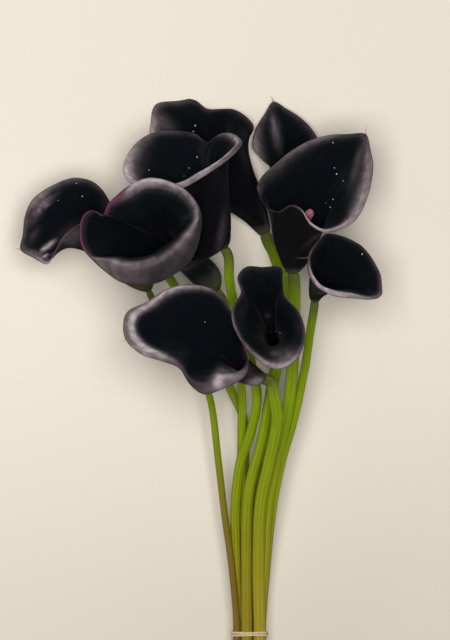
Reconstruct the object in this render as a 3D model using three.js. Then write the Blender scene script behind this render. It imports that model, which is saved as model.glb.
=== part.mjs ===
// A tied bunch of ten dark calla lilies, lying down.
//
// Each calla is three pieces: a stem, a spathe (the one petal-like bract, rolled into
// a funnel) and a spadix (the finger that stands in the funnel's throat).
// A rubber band holds the ten stems together near their cut ends.
//
// Millimetres. +Y runs along the bunch towards the heads, +X to the right and +Z up,
// away from the surface at Z = 0. The bunch shows its face to +Z.
import * as THREE from "three";

// ---- Driving dimensions ----
const SPATHE_THICKNESS = 1.4; // at the funnel's foot
const LIP_THICKNESS = 1.0; // at the rim
const SEAT_GAP = 0.3; // clearance between pieces that meet
const SPADIX_RADIUS = 2.1;
const SPADIX_SHAPE = [0.5, 0.7, 0.9, 1, 1, 1, 0.94, 0.75, 0.35]; // parts of it, foot to tip
const SPADIX_STIFFNESS = 0.35; // how far its middle keeps to the floor's own direction
const STEM_LEAD = 7; // straight stretch of stem under each head
const BAND_Y = -103; // where the rubber band sits
const BAND_WIDTH = 3;
const BAND_THICKNESS = 1.0;
const BAND_GAP = 0.3;
const TIED_LENGTH = 12; // the stems run straight for this length under the band
const CUT_SPREAD = 1.35; // how far the cut ends fan out, against their places in the band

// ---- Fineness ----
const AROUND = 24; // facets round a spathe
const STEPS = [0, 0.17, 0.3, 0.44, 0.58, 0.74, 0.88, 1]; // rings from foot to rim
const STEM_SIDES = 8;
const STEM_SECTION = 12; // length of one facet along a stem
const SPADIX_SIDES = 8;
const LOOP_FACETS = 24; // corners round each stem that the band is laid over

// ---- Colours and how rough each surface is ----
const SPATHE_FINISH = { color: 0x17121b, roughness: 0.45 };
const SPADIX_FINISH = { color: 0x8f5068, roughness: 0.7 };
const STEM_FINISH = { color: 0x70871f, roughness: 0.5 };
const BAND_FINISH = { color: 0xb9a27a, roughness: 0.6 };

// ---- The ten callas ----
// foot      where the funnel meets its stem
// aim       the way the funnel leaves its foot
// radius    of the stem
// reach     how far the foot's and the rim's directions carry into the funnel's wall,
//           as parts of the funnel's length
// bulge     how far the wall swells all round, just above the foot, in the same measure
// low, high how far the wall swells on one side, and which way, in its lower and upper half
// rim       points that the rim passes through, anticlockwise seen from the mouth, each
//           with its flare in degrees: 0 runs straight out of the mouth, 90 lies flat
//           in it and more rolls back
// spadix    its tip
// stem      where the stem passes between the foot and the band
// tied      the x and z of the stem under the band
// cut       the y and z of its cut end
const CALLAS = {
  left_front: {
    foot: [11.7, 104, 32], aim: [-0.55, 0.8, 0.1], radius: 2.5,
    reach: [0.38, 0.42], bulge: 0.09, low: [0, 0, 0], high: [-3, -4, 0],
    rim: [
      [3, 149, 104, 55], [0, 158, 101, 65], [-10, 167, 99, 70], [-28, 172, 97, 80],
      [-40, 168, 97, 80], [-48, 162, 98, 90], [-54, 156, 99, 110], [-57, 149, 102, 90],
      [-63, 152, 101, 80], [-68, 149, 100, 70], [-70, 142, 100, 60], [-69, 131, 103, 50],
      [-63, 123, 108, 30], [-46, 119, 115, 5], [-28, 121, 119, 0], [-12, 130, 117, 0],
      [-2, 139, 111, 15],
    ],
    spadix: [-14, 127.5, 76],
    stem: [
      [19, 88, 32], [23, 72, 33.5], [25.5, 56, 34.5], [26.9, 38, 35], [26.4, 20, 33],
      [26.7, -24, 27], [29.8, -64, 20.5],
    ],
    tied: [30.2, 14.9], cut: [-218, 14],
  },
  upper: {
    foot: [15.9, 130, 66], aim: [-0.35, 0.75, 0.35], radius: 3,
    reach: [0.3, 0.4], bulge: 0.12, low: [-6, -19, 3], high: [-5, -15, 3],
    rim: [
      [27, 194, 84, 60], [22, 198, 80, 80], [15, 198, 76, 90], [6, 193, 72, 60],
      [-1, 198, 66, 80], [-12, 200, 62, 90], [-26, 199, 58, 90], [-37, 193, 57, 90],
      [-44, 182, 60, 90], [-44, 173, 66, 80], [-36, 166, 72, 50], [-24, 164, 78, 20],
      [-10, 166, 86, 5], [3, 173, 95, 5], [15, 181, 97, 15], [23, 188, 92, 30],
    ],
    spadix: [-1.5, 174, 76],
    stem: [
      [19, 112, 60.5], [21.3, 98, 58], [27.9, 77, 53], [33.9, 53, 49], [35.7, 38, 47],
      [31.5, 17, 43], [26.1, 2, 39], [22.8, -24, 33], [23.2, -58, 22.5],
    ],
    tied: [24.2, 17.9], cut: [-212, 19],
  },
  top_back: {
    foot: [40.5, 139, 6], aim: [-0.35, 0.9, 0.1], radius: 3.6,
    reach: [0.3, 0.35], bulge: 0.12, low: [0, 0, 0], high: [0, 0, 0],
    rim: [
      [34, 203, 17, 60], [28.5, 210, 9, 90], [21, 214, 4, 90], [6, 214, 4, 80],
      [-1.5, 219, 1, 90], [-13.5, 219, 0, 90], [-25.5, 217, 1, 90], [-28.5, 205, 5, 90],
      [-29, 197, 9, 90], [-25.5, 188, 17, 40], [-16.5, 182, 23, 0], [-1.5, 182, 27, -20],
      [15, 185, 27, -20], [25.5, 190, 25, -10], [31.5, 197, 21, 20],
    ],
    spadix: [16.5, 174.9, 11.1],
    stem: [
      [45.5, 128, 6.5], [49.3, 117, 10], [52.2, 105, 15], [52.3, 85, 22], [48.5, 65, 27.5],
      [44.1, 41, 29.5], [38.7, 8, 26], [35.1, -24, 22.5], [34, -64, 15],
    ],
    tied: [31.0, 6.9], cut: [-220, 3.6],
  },
  far_left: {
    foot: [-29.5, 104, 43], aim: [-0.42, 0.92, 0.1], radius: 2.1,
    reach: [0.5, 0.4], bulge: 0.12, low: [0, 0, 0], high: [0, 0, 0],
    rim: [
      [-51, 149, 60, 30], [-54, 160, 56, 60], [-62, 169, 53, 80], [-74, 172, 50, 90],
      [-88, 167, 48, 90], [-99, 159, 47, 90], [-104, 149, 47, 90], [-106, 137, 48, 90],
      [-108, 128, 50, 90], [-99, 124, 54, 80], [-90, 120, 58, 60], [-85, 128, 60, 20],
      [-80, 137, 64, -15], [-69, 145, 68, -25], [-58, 145, 67, -20],
    ],
    spadix: [-58.7, 134, 50.4],
    stem: [
      [-21, 90, 42], [-15.3, 83, 42.5], [-2.1, 62, 42.5], [7.2, 40, 40], [12.5, 1, 33],
      [16, -29, 30], [20.4, -61, 28],
    ],
    tied: [23.6, 23.6], cut: [-214, 26],
  },
  lower_left: {
    foot: [38.7, 51.6, 85], aim: [-0.7, 0.3, 0.6], radius: 3.6,
    reach: [0.3, 0.4], bulge: 0.08, low: [0, 0, 0], high: [0, 0, 0],
    rim: [
      [31, 62, 112, 20], [28, 72, 107, 30], [24, 82, 104, 45], [20, 92, 103, 60],
      [13, 102, 103, 70], [2, 107, 104, 80], [-16, 106, 105, 80], [-30, 98, 106, 90],
      [-42, 92, 106, 100], [-44, 85, 106, 110], [-42, 76, 108, 110], [-33, 67, 111, 100],
      [-20, 62, 114, 90], [-11, 58, 117, 70], [-4, 48, 120, 60], [4, 43, 121, 60],
      [15, 46, 120, 60], [28, 53, 117, 30],
    ],
    spadix: [13.4, 65.7, 100.3],
    stem: [
      [46.5, 38, 77.5], [47.9, 29, 74], [47.1, 21, 70], [42.3, -2, 60], [37.8, -24, 52],
      [36.6, -58, 37.5],
    ],
    tied: [37.1, 24.2], cut: [-216, 24],
  },
  lower_front: {
    foot: [47, 68, 62], aim: [-0.1, 0.35, 0.9], radius: 3.5,
    reach: [0.3, 0.35], bulge: 0.08, low: [0, 0, 0], high: [0, 0, 0],
    rim: [
      [64, 82, 118, 60], [60, 92, 116, 60], [52, 101, 115, 50], [51, 110, 114, 60],
      [50, 118, 113, 80], [39, 118, 113, 90], [29, 118, 113, 90], [24, 112, 113, 80],
      [26, 103, 115, 60], [21, 94, 118, 60], [21, 85, 121, 60], [26, 74, 124, 50],
      [35, 64, 127, 45], [45, 58, 128, 50], [56, 60, 127, 60], [63, 70, 122, 60],
    ],
    spadix: [43.7, 80.1, 96.1],
    stem: [
      [47.8, 60, 47], [46, 50, 45.5], [43.5, 38, 46.5], [38.9, 14, 45], [31.5, -14, 40],
      [29.8, -34, 36], [29.5, -64, 29],
    ],
    tied: [29.6, 23.6], cut: [-220, 22],
  },
  right_big: {
    foot: [57.5, 115, 55], aim: [-0.1, 0.95, 0.25], radius: 3.7,
    reach: [0.3, 0.4], bulge: 0.16, low: [-8, 0, 0], high: [-10, 0, 0],
    rim: [
      [105, 176, 78, 80], [104, 187, 74, 90], [100, 197, 72, 95], [88, 198, 68, 95],
      [76, 197, 66, 95], [62, 192, 64, 100], [47, 181, 64, 105], [39, 173, 66, 105],
      [36, 166, 70, 100], [39, 157, 80, 60], [48, 151, 92, 10], [56, 155, 96, 0],
      [63, 154, 98, 10], [68, 146, 99, 20], [76, 140, 98, 40], [88, 142, 94, 60],
      [98, 152, 88, 70],
    ],
    spadix: [68.5, 152.4, 74],
    stem: [
      [58, 85, 51], [57.5, 65, 52], [56.5, 50, 53], [54.5, 35, 53], [51, 18, 50],
      [47.5, 5, 47], [42.1, -24, 42], [39.3, -64, 27],
    ],
    tied: [37.0, 16.0], cut: [-215, 15],
  },
  right_low: {
    foot: [70.5, 98, 62], aim: [0.1, 0.85, 0.5], radius: 2.6,
    reach: [0.3, 0.35], bulge: 0.1, low: [0, 0, 0], high: [0, 0, 0],
    rim: [
      [110, 112, 84, 80], [106, 121, 82, 85], [98, 131, 79, 85], [86, 137, 77, 80],
      [77.5, 138, 74, 70], [71.5, 133, 80, 50], [66.5, 125.5, 88, 20], [66, 116, 96, 15],
      [71, 107, 99, 20], [80, 102, 99, 35], [92, 100, 97, 50], [108, 100, 90, 80],
    ],
    spadix: [79.1, 110.3, 77.2],
    stem: [
      [67.5, 78, 54], [65, 60, 52], [63, 50, 51], [60, 35, 48], [55.6, 18, 45],
      [51.7, 5, 41.5], [45.7, -24, 36], [41.4, -64, 20],
    ],
    tied: [38.8, 9.5], cut: [-213, 9],
  },
  upper_right: {
    foot: [57, 138, 3.4], aim: [-0.1, 0.95, 0.1], radius: 2.5,
    reach: [0.3, 0.35], bulge: 0.12, low: [0, 0, 0], high: [0, 0, 0],
    rim: [
      [75, 188, 13.4, 60], [71, 199, 11.4, 80], [63, 208, 8.4, 90], [54, 214, 6.4, 90],
      [46, 217, 5.4, 90], [40, 210, 5.4, 90], [35, 202, 6.4, 90], [33, 191, 9.4, 80],
      [38, 184, 14.4, 60], [44, 179, 21.4, 10], [54, 175, 27.4, -30], [66, 179, 25.4, -20],
    ],
    spadix: [55.3, 171, 9.8],
    stem: [
      [57.8, 118, 4.5], [58.2, 98, 8], [57.2, 68, 15], [54, 38, 20], [47.7, 8, 19],
      [42.3, -24, 17], [39.3, -64, 10],
    ],
    tied: [38.0, 4.0], cut: [-219, 2.5],
  },
  hidden_back: {
    foot: [-22.5, 121, 2.9], aim: [-0.4, 0.8, 0.2], radius: 2.7,
    reach: [0.3, 0.35], bulge: 0.1, low: [0, 0, 0], high: [0, 0, 0],
    rim: [
      [-24, 139, 18.7, 20], [-24, 149, 14.7, 50], [-30, 158, 10.7, 70], [-39, 162, 8.7, 80],
      [-49, 160, 8.7, 80], [-55, 151, 10.7, 80], [-55, 140, 13.7, 60], [-49, 132, 17.7, 30],
      [-39, 128, 20.7, -20], [-30, 131, 20.7, -20],
    ],
    spadix: [-32.9, 135.2, 9.8],
    stem: [
      [-15.3, 109, 4], [1.5, 79, 9], [20.1, 44, 19], [27.3, 28, 22], [28.5, 5, 21],
      [27.3, -24, 18], [26.1, -64, 13],
    ],
    tied: [24.2, 5.4], cut: [-217, 2.7],
  },
};

// The cut ends fan out about the middle of the band.
const tiedPlaces = Object.values(CALLAS).map((calla) => calla.tied[0]);
const BAND_MIDDLE = (Math.min(...tiedPlaces) + Math.max(...tiedPlaces)) / 2;

// ---- Building blocks ----
const vector = ([x, y, z]) => new THREE.Vector3(x, y, z);

function mean(points) {
  const sum = points.reduce((total, point) => total.add(point), new THREE.Vector3());
  return sum.divideScalar(points.length);
}

// The direction that a ring of points turns about.
function ringAxis(ring) {
  const middle = mean(ring);
  const axis = new THREE.Vector3();
  ring.forEach((point, i) => {
    const next = ring[(i + 1) % ring.length].clone().sub(middle);
    axis.add(point.clone().sub(middle).cross(next));
  });
  return axis.normalize();
}

// Collects vertices and triangles, and closes rings of vertices into a solid.
class Shell {
  constructor() {
    this.positions = [];
    this.triangles = [];
  }

  add(point) {
    this.positions.push(point.x, point.y, point.z);
    return this.positions.length / 3 - 1;
  }

  ring(points) {
    return points.map((point) => this.add(point));
  }

  // Joins two rings that run the same way round, the first one below the second.
  join(lower, upper) {
    for (let i = 0; i < lower.length; i++) {
      const k = (i + 1) % lower.length;
      this.triangles.push(lower[i], lower[k], upper[k]);
      this.triangles.push(lower[i], upper[k], upper[i]);
    }
  }

  // Closes a ring with a fan round its middle, facing the way that the ring turns about.
  cap(ring, points) {
    const middle = this.add(mean(points));
    for (let i = 0; i < ring.length; i++) {
      this.triangles.push(ring[i], ring[(i + 1) % ring.length], middle);
    }
  }

  geometry() {
    const shell = new THREE.BufferGeometry();
    shell.setAttribute("position", new THREE.Float32BufferAttribute(this.positions, 3));
    shell.setIndex(this.triangles);
    shell.computeVertexNormals();
    return shell;
  }
}

function piece(name, geometry, finish) {
  const mesh = new THREE.Mesh(geometry, new THREE.MeshStandardMaterial({ ...finish, metalness: 0 }));
  mesh.name = name;
  return mesh;
}

// A solid rod along a smooth curve, with a radius for each part of its length.
function rod(points, sections, sides, radiusAt) {
  const curve = new THREE.CatmullRomCurve3(points, false, "centripetal");
  const frames = curve.computeFrenetFrames(sections, false);
  const shell = new Shell();
  let below = null;
  for (let j = 0; j <= sections; j++) {
    const centre = curve.getPointAt(j / sections);
    const radius = radiusAt(j / sections);
    const corners = Array.from({ length: sides }, (_, i) => {
      const angle = (i / sides) * 2 * Math.PI;
      return centre
        .clone()
        .addScaledVector(frames.normals[j], radius * Math.cos(angle))
        .addScaledVector(frames.binormals[j], radius * Math.sin(angle));
    });
    const ring = shell.ring(corners);
    if (below) shell.join(below, ring);
    else shell.cap([...ring].reverse(), corners);
    if (j === sections) shell.cap(ring, corners);
    below = ring;
  }
  return shell.geometry();
}

// ---- Spathe ----
// The rim, sampled at equal lengths, with the flare between the chosen points.
function sampleRim(rim) {
  const curve = new THREE.CatmullRomCurve3(rim.map(vector), true, "centripetal");
  return Array.from({ length: AROUND }, (_, i) => {
    const t = curve.getUtoTmapping(i / AROUND) * rim.length;
    const before = rim[Math.floor(t) % rim.length][3];
    const after = rim[(Math.floor(t) + 1) % rim.length][3];
    const flare = THREE.MathUtils.degToRad(THREE.MathUtils.lerp(before, after, t % 1));
    return { point: curve.getPoint(t / rim.length), flare };
  });
}

// A one-sided push, felt by the walls that face its way.
function swell(push, outward) {
  const share = push.lengthSq() > 0 ? Math.max(outward.dot(push) / push.length(), 0) : 0;
  return push.clone().multiplyScalar(share);
}

// Rings of points on the funnel's outer face, from its foot to its rim.
function funnelRings(calla) {
  const samples = sampleRim(calla.rim);
  const foot = vector(calla.foot);
  const aim = vector(calla.aim).normalize();
  const centre = mean(samples.map((sample) => sample.point));
  const length = centre.distanceTo(foot);
  const facing = new THREE.Vector3();
  samples.forEach((sample, i) => {
    const arm = sample.point.clone().sub(centre);
    const next = samples[(i + 1) % AROUND].point.clone().sub(centre);
    facing.add(arm.cross(next));
  });
  facing.normalize();
  const ahead = facing.clone().add(aim).normalize();
  const tilt = new THREE.Quaternion().setFromUnitVectors(facing, aim);
  const walls = samples.map(({ point, flare }) => {
    const outward = point.clone().sub(centre).projectOnPlane(facing).normalize();
    const footOutward = outward.clone().applyQuaternion(tilt);
    const start = foot.clone().addScaledVector(footOutward, calla.radius);
    const rise = start.clone().addScaledVector(aim, length * calla.reach[0]);
    rise.addScaledVector(footOutward, length * calla.bulge);
    rise.add(swell(vector(calla.low), footOutward));
    const flight = ahead.clone().multiplyScalar(Math.cos(flare));
    flight.addScaledVector(outward, Math.sin(flare));
    const arrive = point.clone().addScaledVector(flight, -length * calla.reach[1]);
    arrive.add(swell(vector(calla.high), outward));
    return new THREE.CubicBezierCurve3(start, rise, arrive, point);
  });
  return STEPS.map((step) => walls.map((wall) => wall.getPoint(step)));
}

// The same rings moved inwards by the wall's thickness.
function insetRings(rings) {
  const last = rings.length - 1;
  return rings.map((ring, j) => {
    const above = rings[Math.min(j + 1, last)];
    const below = rings[Math.max(j - 1, 0)];
    const thickness = THREE.MathUtils.lerp(SPATHE_THICKNESS, LIP_THICKNESS, STEPS[j]);
    return ring.map((point, i) => {
      const along = above[i].clone().sub(below[i]);
      const around = ring[(i + 1) % AROUND].clone().sub(ring[(i + AROUND - 1) % AROUND]);
      const outward = around.cross(along).normalize();
      return point.clone().addScaledVector(outward, -thickness);
    });
  });
}

// The funnel's floor: the lowest inner ring, laid flat.
function floorRing(inset) {
  const ring = inset[1];
  const middle = mean(ring);
  const up = ringAxis(ring);
  return ring.map((point) => point.clone().sub(middle).projectOnPlane(up).add(middle));
}

// A cup with a solid foot: the outer face, the lip and the inner face.
function spatheGeometry(rings) {
  const shell = new Shell();
  const outer = rings.map((ring) => shell.ring(ring));
  const inset = insetRings(rings);
  const floor = floorRing(inset);
  const inner = [floor, ...inset.slice(2)].map((ring) => shell.ring(ring));
  shell.cap([...outer[0]].reverse(), rings[0]);
  for (let j = 0; j + 1 < outer.length; j++) shell.join(outer[j], outer[j + 1]);
  shell.join(outer[outer.length - 1], inner[inner.length - 1]);
  for (let j = inner.length - 1; j > 0; j--) shell.join(inner[j], inner[j - 1]);
  shell.cap(inner[0], floor);
  return shell.geometry();
}

// ---- Spadix ----
// A finger that rises from the floor of the funnel and bends to its rounded tip.
function spadixGeometry(rings, tip) {
  const inset = insetRings(rings);
  const up = ringAxis(floorRing(inset));
  const foot = mean(inset[1]).addScaledVector(up, SEAT_GAP);
  const rise = foot.clone().addScaledVector(up, SPADIX_RADIUS);
  const reach = foot.distanceTo(tip) / 2;
  const straight = foot.clone().addScaledVector(up, reach);
  const bend = foot.clone().lerp(tip, 0.5).lerp(straight, SPADIX_STIFFNESS);
  const sections = SPADIX_SHAPE.length - 1;
  const radiusAt = (t) => SPADIX_RADIUS * SPADIX_SHAPE[Math.round(t * sections)];
  return rod([foot, rise, bend, tip], sections, SPADIX_SIDES, radiusAt);
}

// ---- Stem ----
function stemGeometry(calla) {
  const foot = vector(calla.foot);
  const aim = vector(calla.aim).normalize();
  const top = foot.clone().addScaledVector(aim, -SEAT_GAP);
  const lead = foot.clone().addScaledVector(aim, -STEM_LEAD);
  const [x, z] = calla.tied;
  const [cutY, cutZ] = calla.cut;
  const cutX = BAND_MIDDLE + (x - BAND_MIDDLE) * CUT_SPREAD;
  const points = [
    top,
    lead,
    ...calla.stem.map(vector),
    new THREE.Vector3(x, BAND_Y + TIED_LENGTH / 2, z),
    new THREE.Vector3(x, BAND_Y - TIED_LENGTH / 2, z),
    new THREE.Vector3(cutX, cutY, cutZ),
  ];
  const length = new THREE.CatmullRomCurve3(points, false, "centripetal").getLength();
  const sections = Math.round(length / STEM_SECTION);
  return rod(points, sections, STEM_SIDES, () => calla.radius);
}

// ---- Rubber band ----
// More than 0 where the path a, b, c turns left.
const leftTurn = (a, b, c) => (b.x - a.x) * (c.y - a.y) - (b.y - a.y) * (c.x - a.x);

// The outline that a string pulled tight round the points would take, turning left.
function hull(points) {
  const sorted = [...points].sort((a, b) => a.x - b.x || a.y - b.y);
  const half = (list) => {
    const chain = [];
    for (const point of list) {
      while (chain.length > 1 && leftTurn(chain.at(-2), chain.at(-1), point) <= 0) chain.pop();
      chain.push(point);
    }
    return chain.slice(0, -1);
  };
  return [...half(sorted), ...half(sorted.reverse())];
}

// The tight loop round all the stems, this far from them.
function loopAround(distance) {
  const points = [];
  for (const { tied, radius } of Object.values(CALLAS)) {
    const centre = new THREE.Vector2(...tied);
    for (let i = 0; i < LOOP_FACETS; i++) {
      const arm = new THREE.Vector2(radius + distance, 0);
      points.push(arm.rotateAround(new THREE.Vector2(), (i / LOOP_FACETS) * 2 * Math.PI).add(centre));
    }
  }
  return hull(points);
}

function bandGeometry() {
  const loop = new THREE.Shape(loopAround(BAND_GAP + BAND_THICKNESS));
  loop.holes.push(new THREE.Path(loopAround(BAND_GAP)));
  const band = new THREE.ExtrudeGeometry(loop, { depth: BAND_WIDTH, bevelEnabled: false });
  band.rotateX(Math.PI / 2);
  return band.translate(0, BAND_Y + BAND_WIDTH / 2, 0);
}

// ---- The bunch ----
const bunch = new THREE.Group();
bunch.name = "calla_bunch";
for (const [name, calla] of Object.entries(CALLAS)) {
  const rings = funnelRings(calla);
  bunch.add(piece(`stem_${name}`, stemGeometry(calla), STEM_FINISH));
  bunch.add(piece(`spathe_${name}`, spatheGeometry(rings), SPATHE_FINISH));
  bunch.add(piece(`spadix_${name}`, spadixGeometry(rings, vector(calla.spadix)), SPADIX_FINISH));
}
bunch.add(piece("rubber_band", bandGeometry(), BAND_FINISH));

// The origin is under the middle of the bunch, on the surface that it lies on.
const bounds = new THREE.Box3().setFromObject(bunch);
const middle = bounds.getCenter(new THREE.Vector3());
for (const mesh of bunch.children) mesh.geometry.translate(-middle.x, -middle.y, -bounds.min.z);

export default bunch;
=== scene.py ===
# The looks of a tied bunch of ten dark calla lilies, lying on a pale surface.
#
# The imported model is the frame: every piece here replaces one CAD node and keeps its place.
# Shapes are given in millimetres in the layout's own frame, which differs from the row's
# frame by a shift found from the rubber band, and are written to meshes in metres.
import math

import bpy
import numpy as np
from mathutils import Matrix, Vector
from mathutils.bvhtree import BVHTree
from mathutils.geometry import convex_hull_2d


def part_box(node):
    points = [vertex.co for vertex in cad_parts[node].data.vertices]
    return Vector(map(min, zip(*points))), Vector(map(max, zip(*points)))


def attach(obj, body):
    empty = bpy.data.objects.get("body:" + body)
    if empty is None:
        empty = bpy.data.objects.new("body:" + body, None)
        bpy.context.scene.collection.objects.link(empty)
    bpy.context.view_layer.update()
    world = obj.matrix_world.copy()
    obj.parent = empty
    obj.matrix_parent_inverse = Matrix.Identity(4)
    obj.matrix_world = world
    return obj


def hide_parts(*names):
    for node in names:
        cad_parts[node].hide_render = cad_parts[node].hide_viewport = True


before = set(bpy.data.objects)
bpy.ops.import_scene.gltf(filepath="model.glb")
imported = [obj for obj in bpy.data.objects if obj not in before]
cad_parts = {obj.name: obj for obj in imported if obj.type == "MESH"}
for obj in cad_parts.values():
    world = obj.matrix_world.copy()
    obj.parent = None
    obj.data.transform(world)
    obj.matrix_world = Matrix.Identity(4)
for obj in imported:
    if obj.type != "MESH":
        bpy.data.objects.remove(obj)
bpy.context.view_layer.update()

MM = 0.001

# ---- Driving dimensions, in millimetres ----
SEAT_GAP = 0.3  # between a stem's top and its spathe
SPADIX_RADIUS = 2.1
SPADIX_FOOT = 0.17  # where it starts, as a part of the wall
SPADIX_STIFFNESS = 0.35  # how far its middle keeps to the foot's own direction
SPADIX_TAPER = ((0, 0.12, 0.3, 0.8, 0.93, 0.985, 1), (0.62, 0.85, 1, 1, 0.88, 0.55, 0.15))
SPADIX_CELLS = (10, 58)  # knobs round it, and how tightly they follow each other along it
STEM_LEAD = 7  # straight stretch of stem under each head
STEM_PLUG = 2.6  # how far a stem carries on inside its spathe's foot
PLUG_END = 0.4  # how far over the stem's top that narrower part ends
PLUG_PART = 0.82  # of the stem's radius
BAND_Y = -103
BAND_THICKNESS = 1.0
BAND_INSET = 0.1  # of the visible band in the frame's band, on either side
BAND_GAP = 0.3
BAND_TURNS = ((-0.78, 0.62), (0.74, 0.66))  # each turn's place along the stems and half width
BAND_WAVE = 0.12
TIED_LENGTH = 12  # the stems run straight for this length under the band
CUT_SPREAD = 1.35  # how far the cut ends fan out
FOOT_THICKNESS = 0.9  # of the spathe's sheet
RIM_THICKNESS = 0.55
EDGE_THICKNESS = 0.16
RIM_THINNING = 1.6  # the sheet thins to its edge over this width at the rim
EDGE_THINNING = 4  # and over this width at its two sides
CORNER_WIDTH = 0.09  # of the sheet's two corners, as a part of its width
CORNER_EASE = 2.2
TIP_EASE = 1.7  # more than 1: a drawn-out point is hollow-sided
OVERLAP_LIFT = 0.35  # how far the outer edge of the sheet stands off the inner one
WAVE_HEIGHT = 0.22
BELLY_HEIGHT = 0.12  # where a swollen foot is widest, as a part of the wall
CURL_SPAN = 70  # the lip is rolled over when it has turned this much farther, in degrees
HAIR_TAPER = ((-0.15, 0.1, 1), (0.4, 0.3, 0.07))  # places along a dried end, and its radii there
DROP_HEIGHT = 0.6  # of a drop's radius
DROP_SEARCH = 400  # the height from which the sheet under a drop is looked for

# ---- Fineness ----
AROUND = 168  # steps round a spathe
ALONG = 38  # steps from its foot to where its lip begins to roll
LIP = 16  # steps across the rolled lip
WALL_PART = 0.85  # of the sheet's height, the rest is its lip
LIP_SLICES = 28
LIP_EASE = 1.5  # more than 1: the lip rolls tighter towards its edge
RIM_TABLE = 720
COARSE = 24  # steps round the rim where only its middle is wanted
CURVE_STEPS = 60  # to measure each stretch of a curve
FLARE_REACH = 8  # steps of the rim over which its flare is smoothed
LIP_REACH = 9  # the same for its lip and its painted sheen
SOFT_REACH = 22  # and over which its fine shape fades down the wall
STEM_STEP = 2.0
STEM_SIDES = 28
STEM_RIBS = 9
SPADIX_STEPS, SPADIX_SIDES = 60, 30
BAND_STEPS, BAND_SIDES = 160, 12
TIE_SIDES = 48  # of the outline that the band takes round each stem
HAIR_STEPS, HAIR_SIDES = 14, 7
DROP_RINGS, DROP_SIDES = 7, 14

# ---- Photograph, camera and light ----
PHOTO_SIZE = (450, 640)
MM_PER_PIXEL = 0.6
ORIGIN_PIXEL = (197.5, 464)  # of the layout
CAMERA_DISTANCE = 8.0  # metres, as is all that follows
FOCUS_HEIGHT = 0.07
SENSOR = 36.0
FLOOR_HALF = 8.0
SKY = [
    (0.47, (0.06, 0.06, 0.065)), (0.5, (0.74, 0.70, 0.65)), (0.575, (0.6, 0.58, 0.55)),
    (0.7, (0.12, 0.125, 0.135)), (1.0, (0.04, 0.044, 0.05)),
]
LIGHT_TARGET = (0, 0.08, 0.03)
LIGHTS = [  # the name, place, size, watts and colour, and whether it is mirrored
    ("fill", (0.0, 0.15, 3.0), (1.3, 1.3), 88, (1, 0.985, 0.965), False),
    ("left_panel", (-2.4, 0.3, 0.9), (1.6, 0.7), 9, (1, 0.98, 0.96), True),
    ("right_panel", (2.5, 0.1, 0.35), (2.4, 0.6), 7, (1, 0.98, 0.96), True),
    ("upper_panel", (0.0, 2.6, 0.4), (2.4, 0.6), 8, (1, 0.99, 0.97), True),
]

# ---- The ten callas ----
# foot      where the spathe starts, and aim, which way it sets off from there
# radius    the stem's
# tied      the stem's x and z at the rubber band, and cut, its y and z at the cut end
# spadix    the place of its tip
# reach     how far the wall keeps to its directions at the foot and at the rim, as parts of
#           the spathe's length
# bulge     how far the wall stands out above its foot, as a part of the spathe's length
# low       pushes that swell the wall low down: the push, and 1, or -1 where the side that it
#           points to moves the other way. high: the same, high up
# belly     how far the foot of the wall swells out
# seam      the rim point at which the sheet's two edges cross
# outside   which edge lies outside, anticlockwise from the seam: its "start" or its "end"
# overlap   how much of the way round the edges overlap, at the foot and at the rim
# notch     how far the two corners are rounded off, and fade, how far up the sheet is still
#           greenish, as parts of the sheet's height
# turn      from which direction the lip counts as rolled over, in degrees
# blush     how pink the spadix's tip is, and knob, how much thicker it is there
# brown     how brown the stem is towards its cut end
# tips      drawn-out points: the rim point, and the tip's length and half width
# hairs     dried ends: the rim point, the length, which way it points, and how pale it is
# gleams    painted highlights and sheen patches in the sheet: the photograph's pixel, the half
#           length and half width, the lean in degrees from +X, and how pale in percent
# drops     of water: the photograph's pixel and the radius
# stem      points along its middle
# rim       points round the spathe's rim: the place, the flare of the wall in degrees, the
#           radius that the lip rolls with, how far it turns over in degrees and, where they
#           aren't 0, how far it carries on from there and how far out of the rim it stands
# bloom  at each rim point, for the painted highlight and sheen that make the rolled lip pale:
#           how far that paleness reaches into the sheet, how wide its magenta margin (its own colour,
#           painted glowing as if lit through) is, how pale its crest highlight is in percent and, where
#           it differs, how pale the painted sheen is beyond the crest
PLAIN = dict(
    reach=(0.3, 0.35), bulge=0.12, low=[], high=[], belly=0, outside="end", overlap=(0.3, 0.03),
    notch=0.1, fade=0.1, turn=92, blush=0, knob=1, brown=0, tips=[], hairs=[], gleams=[], drops=[],
)
CALLAS = {}


def add_calla(name, **fields):
    """Notes a calla, with the plain value of each field that isn't given."""
    CALLAS[name] = {**PLAIN, **fields}


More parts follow.
